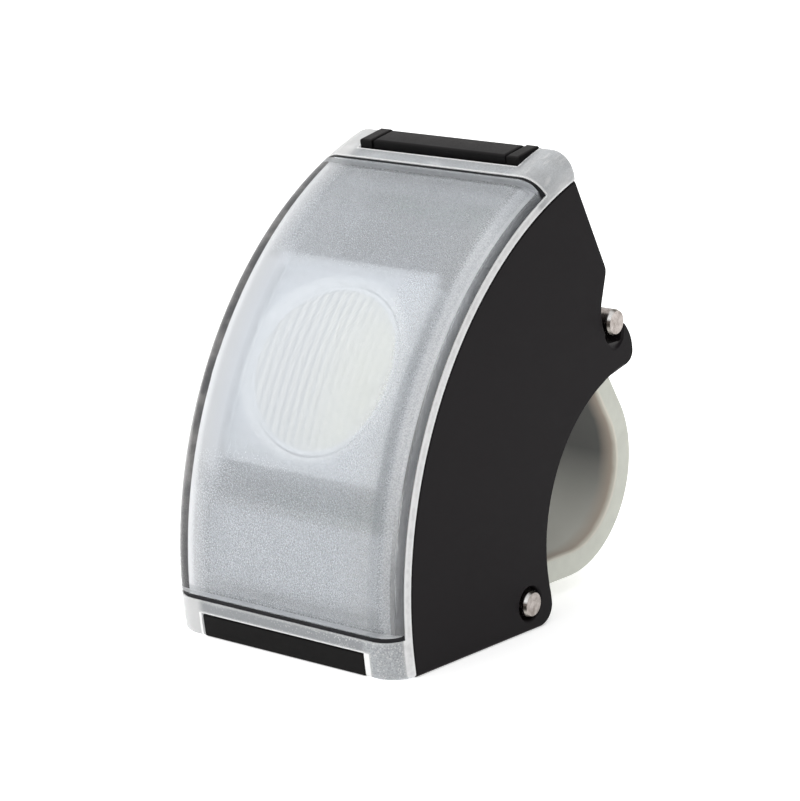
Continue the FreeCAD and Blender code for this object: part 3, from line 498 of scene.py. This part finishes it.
def carrier_plastic(name):
    """Matt white plate, with a paler halo round the optic, wider on the left."""
    m, nt, out = new_mat(name)
    x, y, z = place(nt)
    ax, r, th = round_place(nt)
    slow = noise(nt, 900, 3, 0.6)
    fine = noise(nt, 5000, 2, 0.6)
    c = mix_color(nt, remap(nt, slow, 0.35, 0.65, 0, 1), (0.69, 0.69, 0.69), (0.73, 0.73, 0.73))
    u = math_n(nt, "MULTIPLY", math_n(nt, "SUBTRACT", th, 149.8), 0.000703)
    w = math_n(nt, "ADD", x, 0.0005)
    rho = math_n(nt, "SQRT", math_n(nt, "ADD", both(nt, w, w), both(nt, u, u)))
    c = mix_color(nt, remap(nt, rho, 0.0104, 0.0098, 0, 1), c, (0.97, 0.955, 0.925))
    ro = remap(nt, math_n(nt, "ADD", math_n(nt, "MULTIPLY", slow, 0.5), math_n(nt, "MULTIPLY", fine, 0.5)), 0.3, 0.7, 0.5, 0.65)
    p = principled(nt, Base_Color=c, Roughness=ro, Normal=bump(nt, fine, 1.0, 0.00001))
    p.inputs["Specular IOR Level"].default_value = 0.4
    nt.links.new(p.outputs[0], out.inputs["Surface"])
    return m


def pin_metal(name):
    """Turned steel: fine rings on the end faces, drawn lines along the rod, and smudges."""
    m, nt, out = new_mat(name)
    x, y, z = place(nt)
    up = math_n(nt, "GREATER_THAN", z, 0.017)
    dy = math_n(nt, "SUBTRACT", y, math_n(nt, "ADD", -0.00095, math_n(nt, "MULTIPLY", up, 0.0146)))
    dz = math_n(nt, "SUBTRACT", z, math_n(nt, "ADD", 0.00305, math_n(nt, "MULTIPLY", up, 0.0277)))
    d = math_n(nt, "SQRT", math_n(nt, "ADD", both(nt, dy, dy), both(nt, dz, dz)))
    turn = math_n(nt, "ADD", math_n(nt, "MULTIPLY", math_n(nt, "ARCTAN2", dz, dy), 0.1591549), 0.5)
    cx = nt.nodes.new("ShaderNodeCombineXYZ")
    nt.links.new(math_n(nt, "MULTIPLY", d, 14000.0), cx.inputs[0])
    nt.links.new(math_n(nt, "MULTIPLY", x, 300.0), cx.inputs[1])
    rings = noise(nt, 1.0, 3, 0.6, cx.outputs[0])
    smudge = noise(nt, 1500, 3, 0.6)
    c = mix_color(nt, remap(nt, smudge, 0.3, 0.7, 0, 1), (0.24, 0.21, 0.19), (0.50, 0.455, 0.43))
    # the chamfer's ring, painted reflections bright and dark by turns
    ring = ramp(nt, turn, [(0.0, (0.03, 0.026, 0.022)), (0.03, (0.05, 0.045, 0.04)), (0.08, (0.62, 0.58, 0.53)), (0.17, (0.5, 0.46, 0.42)),
                           (0.27, (0.22, 0.2, 0.18)), (0.42, (0.6, 0.58, 0.55)), (0.6, (0.85, 0.83, 0.8)), (0.72, (0.35, 0.32, 0.28)),
                           (0.78, (0.1, 0.085, 0.07)), (0.83, (0.7, 0.68, 0.66)), (0.93, (0.95, 0.94, 0.93)), (0.965, (0.12, 0.1, 0.09)),
                           (1.0, (0.03, 0.026, 0.022))])
    on_ring = both(nt, remap(nt, d, 0.00124, 0.00127, 0, 1), math_n(nt, "GREATER_THAN", math_n(nt, "ABSOLUTE", x), 0.01498))
    c = mix_color(nt, on_ring, c, ring)
    ro = remap(nt, math_n(nt, "ADD", math_n(nt, "MULTIPLY", rings, 0.5), math_n(nt, "MULTIPLY", smudge, 0.5)), 0.3, 0.7, 0.16, 0.36)
    p = principled(nt, Base_Color=c, Metallic=1.0, Roughness=ro, Normal=bump(nt, rings, 1.0, 0.000007))
    nt.links.new(p.outputs[0], out.inputs["Surface"])
    return m


def strap_rubber(name):
    """Soft grey silicone: fine matt grain and slow drift. Its inner face carries painted shade, darker toward the top,
    and painted light that turns it warm and brown close to its long edges, with a pale painted highlight line at the
    edge."""
    m, nt, out = new_mat(name)
    at = nt.nodes.new("ShaderNodeAttribute")
    at.attribute_name = "inner"
    inner = at.outputs["Fac"]
    slow = noise(nt, 500, 3, 0.6)
    fine = noise(nt, 6000, 3, 0.6)
    x, y, z = place(nt)
    ax = math_n(nt, "ABSOLUTE", x)
    wob = math_n(nt, "ADD", ax, math_n(nt, "MULTIPLY", math_n(nt, "SUBTRACT", slow, 0.5), 0.0004))
    c = mix_color(nt, remap(nt, slow, 0.35, 0.65, 0, 1), (0.51, 0.52, 0.465), (0.55, 0.56, 0.50))
    # painted shade: the inner face darker toward the top
    painted_inner_face = mix_color(nt, remap(nt, z, 0.0045, 0.014, 0, 1), (0.68, 0.68, 0.62), (0.15, 0.152, 0.145))
    # painted light: a warm brown glow near the long edges
    painted_inner_face = mix_color(nt, remap(nt, wob, 0.0080, 0.0098, 0, 1), painted_inner_face, (0.50, 0.43, 0.36))
    # painted highlight: a pale line along the rounded edge
    painted_inner_face = mix_color(nt, remap(nt, wob, 0.0097, 0.01015, 0, 1), painted_inner_face, (0.74, 0.71, 0.62))
    c = mix_color(nt, remap(nt, inner, 0.1, 0.6, 0, 1), c, painted_inner_face)
    ro = remap(nt, math_n(nt, "ADD", math_n(nt, "MULTIPLY", slow, 0.4), math_n(nt, "MULTIPLY", fine, 0.6)), 0.3, 0.7, 0.46, 0.62)
    p = principled(nt, Base_Color=c, Roughness=ro, Normal=bump(nt, fine, 1.0, 0.000012))
    p.inputs["Specular IOR Level"].default_value = 0.35
    nt.links.new(p.outputs[0], out.inputs["Surface"])
    return m


def give(node, m):
    o = NODES[node]
    for i in range(len(o.material_slots)):
        o.material_slots[i].material = m
    if not o.material_slots:
        o.data.materials.append(m)


M = {}
M["cheek"] = cheek_plastic("cheek_plastic")
M["black"] = plastic("black_plastic", (0.012, 0.011, 0.011), (0.016, 0.0145, 0.015), (0.5, 0.65), 0.00001, 7000, 0.3)
M["button"] = button_plastic("button_plastic", (0.0085, 0.0078, 0.0081), (0.034, 0.0312, 0.0300), (0.003, 0.0028, 0.003))
M["frame"] = button_plastic("frame_plastic", (0.012, 0.011, 0.011), (0.03, 0.028, 0.027), (0.004, 0.0036, 0.0036))
M["bar"] = plastic("bar_rubber", (0.0045, 0.0043, 0.0043), (0.0068, 0.0065, 0.0065), (0.5, 0.65), 0.000012, 6000, 0.07)
M["grip"] = plastic("grip_rubber", (0.02, 0.02, 0.02), (0.03, 0.03, 0.03), (0.7, 0.85), 0.00002, 5000, 0.3)
M["strap"] = strap_rubber("strap_silicone")
M["pin"] = pin_metal("pin_steel")
M["screw"] = metal("screw_steel", (0.45, 0.45, 0.46), (0.25, 0.4), (3000, 3000, 3000))
M["socket"] = metal("socket_steel", (0.62, 0.62, 0.62), (0.2, 0.35), (4000, 4000, 500))
M["alu"] = metal("spreader_metal", (0.72, 0.72, 0.73), (0.35, 0.5), (500, 6000, 6000))
M["foil"] = metal("battery_foil", (0.7, 0.71, 0.73), (0.35, 0.5), (900, 900, 900))
M["board"] = plastic("board_laminate", (0.02, 0.12, 0.06), (0.03, 0.16, 0.08), (0.35, 0.5), 0.00001, 3000, 0.5, 2500)
M["white"] = plastic("white_plastic", (0.72, 0.725, 0.735), (0.76, 0.765, 0.775), (0.5, 0.65), 0.00001, 5000, 0.4)
M["ledboard"] = plastic("led_laminate", (0.7, 0.7, 0.68), (0.8, 0.8, 0.78), (0.35, 0.5), 0.00001, 4000, 0.4)
M["optic"] = optic_plastic("optic_plastic")
M["carrier"] = carrier_plastic("carrier_plastic")
M["led"] = plastic("led_silicone", (0.85, 0.65, 0.12), (0.9, 0.72, 0.2), (0.4, 0.5), 0.00001, 4000, 0.5)
M["foam"] = plastic("foam_black", (0.05, 0.05, 0.05), (0.09, 0.09, 0.09), (0.85, 0.95), 0.00008, 2500, 0.2)
M["chip"] = plastic("chip_resin", (0.012, 0.012, 0.012), (0.02, 0.02, 0.02), (0.5, 0.6), 0.00001, 5000, 0.4)
M["seal"] = plastic("seal_rubber", (0.008, 0.008, 0.009), (0.015, 0.015, 0.017), (0.45, 0.6), 0.00001, 6000, 0.12)
M["shell"] = shell_plastic("clear_plastic")
M["lens"] = window_plastic("window_plastic")
M["tray"] = frosted("diffuser_plastic", 0.26)
M["guide"] = plastic("guide_plastic", (0.36, 0.37, 0.385), (0.42, 0.43, 0.445), (0.4, 0.55), 0.00001, 5000, 0.4)

for n, k in {"front_shell": "shell", "window_lens": "lens", "window_seal": "seal", "diffuser_tray": "tray", "rear_housing": "black",
             "grip_pad": "grip", "side_panel_left": "cheek", "side_panel_right": "cheek", "lower_pin": "pin", "upper_pin": "pin",
             "strap_lower": "strap", "strap_back": "strap", "strap_upper": "strap", "button_frame": "frame", "power_button": "button",
             "switch_plunger": "black", "tact_switch": "socket", "switch_board": "board", "port_cover": "bar", "usb_socket": "socket",
             "charge_board": "board", "optic_disc": "optic", "optic_carrier": "carrier", "led_emitter": "led", "led_board": "ledboard",
             "heat_spreader": "alu", "status_light_guide": "guide", "battery_cell": "foil", "battery_foam": "foam",
             "main_board": "board", "board_chips": "chip", "status_led": "led", "housing_screws": "screw"}.items():
    give(n, M[k])

# ------------------------------------------------------------------ soft strap
ORIGIN_Y = 21.15
SC = (33.9 - ORIGIN_Y, 13.25)        # centre of the strap's round back
S_MID, S_HALF_T, S_HALF_W = 10.05, 1.25, 10.5
LOW_PIN = (20.2 - ORIGIN_Y, 3.05)
UP_PIN = (34.8 - ORIGIN_Y, 30.75)
FLEX_UP, FLEX_LOW, SPLIT = 34.5, 0.0, 17.25


def ease(t):
    t = max(0.0, min(1.0, t))
    return t * t * (3 - 2 * t)


def arc_mid(deg):
    a = math.radians(deg)
    return (SC[0] + S_MID * math.cos(a), SC[1] + S_MID * math.sin(a))


def strap_skin(name, path, half, tuck=0, e_out=0.25, e_in=0.3, steps=5):
    """Closed band along path (y, z), from its open end to the pin that its rounded loop end holds. half is the half
    thickness at each point. Its long edges are rounded, more on the inner side, and the first tuck points are drawn
    in by a hair so that they lie inside the neighbouring length. The attribute inner grows from 0 on the side face
    to 1 on the inner flat."""
    n = len(path)
    tang = []
    for i in range(n):
        a, b = path[max(0, i - 1)], path[min(n - 1, i + 1)]
        d = (b[0] - a[0], b[1] - a[1])
        k = math.hypot(*d)
        tang.append((d[0] / k, d[1] / k))
    layers = []
    for side in (-1, 1):
        part = []
        for k in range(steps + 1):
            ph = math.pi / 2 * k / steps          # 0 at the side face, 90 degrees on the flat
            part.append((side, 1 - math.cos(ph), 1 - math.sin(ph), k / steps))
        if side > 0:
            part.reverse()
        layers += part
        if side < 0:
            layers += [(0, k / 8.0, 0.0, 1.0) for k in range(1, 8)]
    cap = 14
    verts, rec = [], []
    for side, cx, inset, share in layers:
        def at(i, sgn):
            e = e_out if sgn == OUT_SIGN else e_in
            draw = 0.02 if i < tuck else 0.0
            if side:
                x = side * (S_HALF_W - draw - e * cx)
            else:
                lim = S_HALF_W - draw - e
                x = -lim + 2 * lim * cx
            h = half[i] - e * inset - draw
            t = tang[i]
            return x, path[i][0] + sgn * t[1] * h, path[i][1] - sgn * t[0] * h
        loop = []
        for i in range(n):
            loop.append(at(i, OUT_SIGN))
            rec.append(0.0)
        c, t = path[-1], tang[-1]
        base = math.atan2(-t[0] * OUT_SIGN, t[1] * OUT_SIGN)
        for j in range(1, cap):
            w = j / cap
            e = e_out * (1 - w) + e_in * w
            h = half[-1] - e * inset
            x = side * (S_HALF_W - e * cx) if side else -(S_HALF_W - e) + 2 * (S_HALF_W - e) * cx
            a = base + OUT_SIGN * math.pi * w
            loop.append((x, c[0] + h * math.cos(a), c[1] + h * math.sin(a)))
            rec.append(0.0)
        for i in range(n - 1, -1, -1):
            loop.append(at(i, -OUT_SIGN))
            rec.append(share)
        for p in loop:
            verts.append((p[0] * MM, p[1] * MM, p[2] * MM))
    m = 2 * n + cap - 1
    faces = []
    for k in range(len(layers) - 1):
        for i in range(m - 1):
            a = k * m + i
            faces.append((a, a + 1, a + m + 1, a + m))
    for k, flip in ((0, True), (len(layers) - 1, False)):
        o = k * m
        for i in range((m - 1) // 2):
            q = (o + i, o + i + 1, o + m - 2 - i, o + m - 1 - i)
            if len(set(q)) == 4:
                faces.append(q if flip else q[::-1])
            elif len(set(q)) == 3:
                faces.append(tuple(dict.fromkeys(q)))
    end = [k * m for k in range(len(layers))] + [k * m + m - 1 for k in range(len(layers) - 1, -1, -1)]
    faces.append(tuple(end))
    me = bpy.data.meshes.new(name)
    me.from_pydata(verts, [], faces)
    layer = me.attributes.new("inner", "FLOAT", "POINT")
    layer.data.foreach_set("value", rec)
    b = bmesh.new()
    b.from_mesh(me)
    bmesh.ops.recalc_face_normals(b, faces=b.faces)
    ring = set(end)
    for e in b.edges:
        if e.verts[0].index in ring and e.verts[1].index in ring:
            e.smooth = False
    for fc in b.faces:
        fc.smooth = len(fc.verts) < 5
    b.to_mesh(me)
    b.free()
    me.materials.append(M["strap"])
    o = bpy.data.objects.new(name, me)
    bpy.context.scene.collection.objects.link(o)
    return o


low_path, low_half = [], []
for i in range(49):
    deg = SPLIT + (-90 - SPLIT) * i / 48.0
    swell = max(0.0, -deg / 90.0) ** 1.5              # the strap thickens toward its lowest point
    r_mid = S_MID - 0.1 * swell
    low_path.append((SC[0] + r_mid * math.cos(math.radians(deg)), SC[1] + r_mid * math.sin(math.radians(deg))))
    low_half.append(S_HALF_T + 0.1 * swell)
sx = low_path[-1][0]
for i in range(1, 33):
    t = i / 32.0
    y = sx + (LOW_PIN[0] - sx) * t
    z = low_path[48][1] + (LOW_PIN[1] - low_path[48][1]) * ease((t - 0.55) / 0.45)
    low_path.append((y, z))
    low_half.append(S_HALF_T + 0.1 + 0.95 * ease((t - 0.62) / 0.38))
OUT_SIGN = -1
skin_low = strap_skin("strap_skin_lower", low_path, low_half)

up_path, up_half = [], []
for i in range(-2, 13):
    up_path.append(arc_mid(SPLIT + (FLEX_UP - SPLIT) * i / 12.0))
    up_half.append(S_HALF_T)
a_up = math.radians(FLEX_UP)
du, nu = (-math.sin(a_up), math.cos(a_up)), (math.cos(a_up), math.sin(a_up))
o_up = up_path[-1]
run = (UP_PIN[0] - o_up[0]) * du[0] + (UP_PIN[1] - o_up[1]) * du[1]
off = (UP_PIN[0] - o_up[0]) * nu[0] + (UP_PIN[1] - o_up[1]) * nu[1]
for i in range(1, 37):
    t = i / 36.0
    w = ease((t - 0.5) / 0.5)
    up_path.append((o_up[0] + du[0] * run * t + nu[0] * off * w, o_up[1] + du[1] * run * t + nu[1] * off * w))
    up_half.append(S_HALF_T + 1.05 * ease((t - 0.6) / 0.4))
OUT_SIGN = 1
skin_up = strap_skin("strap_skin_upper", up_path, up_half, tuck=2)


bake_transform(skin_low)
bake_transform(skin_up)
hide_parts("strap_lower", "strap_back")
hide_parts("strap_upper")

# ------------------------------------------------------------------ floor, light, camera
bm = bmesh.new()
bmesh.ops.create_grid(bm, x_segments=2, y_segments=2, size=6.0)
me = bpy.data.meshes.new("floor")
bm.to_mesh(me)
bm.free()
floor = bpy.data.objects.new("floor", me)
bpy.context.scene.collection.objects.link(floor)
floor.location = (0, 0, cad_lo.z - 0.00002)
fm, nt, out = new_mat("floor_paper")
f = noise(nt, 60, 3, 0.5)
p = principled(nt, Base_Color=mix_color(nt, remap(nt, f, 0.3, 0.7, 0, 1), (0.93, 0.93, 0.93), (0.95, 0.95, 0.95)), Roughness=0.9)
p.inputs["Specular IOR Level"].default_value = 0.1
p.inputs["Emission Color"].default_value = (1, 1, 1, 1)
p.inputs["Emission Strength"].default_value = 0.42
nt.links.new(p.outputs[0], out.inputs["Surface"])
me.materials.append(fm)

world = bpy.data.worlds.new("studio")
bpy.context.scene.world = world
world.use_nodes = True
bg = world.node_tree.nodes["Background"]
bg.inputs["Color"].default_value = (1, 1, 1, 1)
bg.inputs["Strength"].default_value = 0.9
wn = world.node_tree
wtc = wn.nodes.new("ShaderNodeTexCoord")
wdot = wn.nodes.new("ShaderNodeVectorMath")
wdot.operation = "DOT_PRODUCT"
wn.links.new(wtc.outputs["Generated"], wdot.inputs[0])
wdot.inputs[1].default_value = (0.62, 0.76, 0.12)
wn.links.new(mix_color(wn, remap(wn, wdot.outputs["Value"], 0.55, 0.9, 0, 1), (1, 1, 1), (0.25, 0.25, 0.25)), bg.inputs["Color"])


def area(name, loc, aim, size, power, col=(1, 1, 1), size_y=None):
    ld = bpy.data.lights.new(name, "AREA")
    ld.energy = power
    ld.color = col
    ld.size = size
    if size_y:
        ld.shape = "RECTANGLE"
        ld.size_y = size_y
    o = bpy.data.objects.new(name, ld)
    bpy.context.scene.collection.objects.link(o)
    o.location = loc
    d = Vector(aim) - Vector(loc)
    o.rotation_euler = d.to_track_quat("-Z", "Y").to_euler()
    o.visible_glossy = False
    o.visible_transmission = False
    return o


area("top_light", (0.1, -0.1, 1.0), (0, 0, 0.02), 1.2, 3.5)
area("left_light", (-0.75, -0.55, 0.5), (0, 0, 0.03), 0.6, 6.0)

cam_d = bpy.data.cameras.new("camera")
cam = bpy.data.objects.new("camera", cam_d)
bpy.context.scene.collection.objects.link(cam)
cam_d.sensor_fit = "AUTO"
cam_d.sensor_width = 36.0
cam_d.lens = 135.17
cam_d.clip_start = 0.01
cam_d.clip_end = 30.0
fwd = Vector((-0.60172701, 0.76445708, -0.23136546)).normalized()
cam.location = (0.19066, -0.24616, 0.09656)
cam.rotation_mode = "QUATERNION"
cam.rotation_quaternion = fwd.to_track_quat("-Z", "Y")
bpy.context.scene.camera = cam
bpy.context.scene.view_settings.view_transform = "Standard"
bpy.context.scene.cycles.max_bounces = 24
bpy.context.scene.cycles.transmission_bounces = 24
bpy.context.scene.cycles.transparent_max_bounces = 32
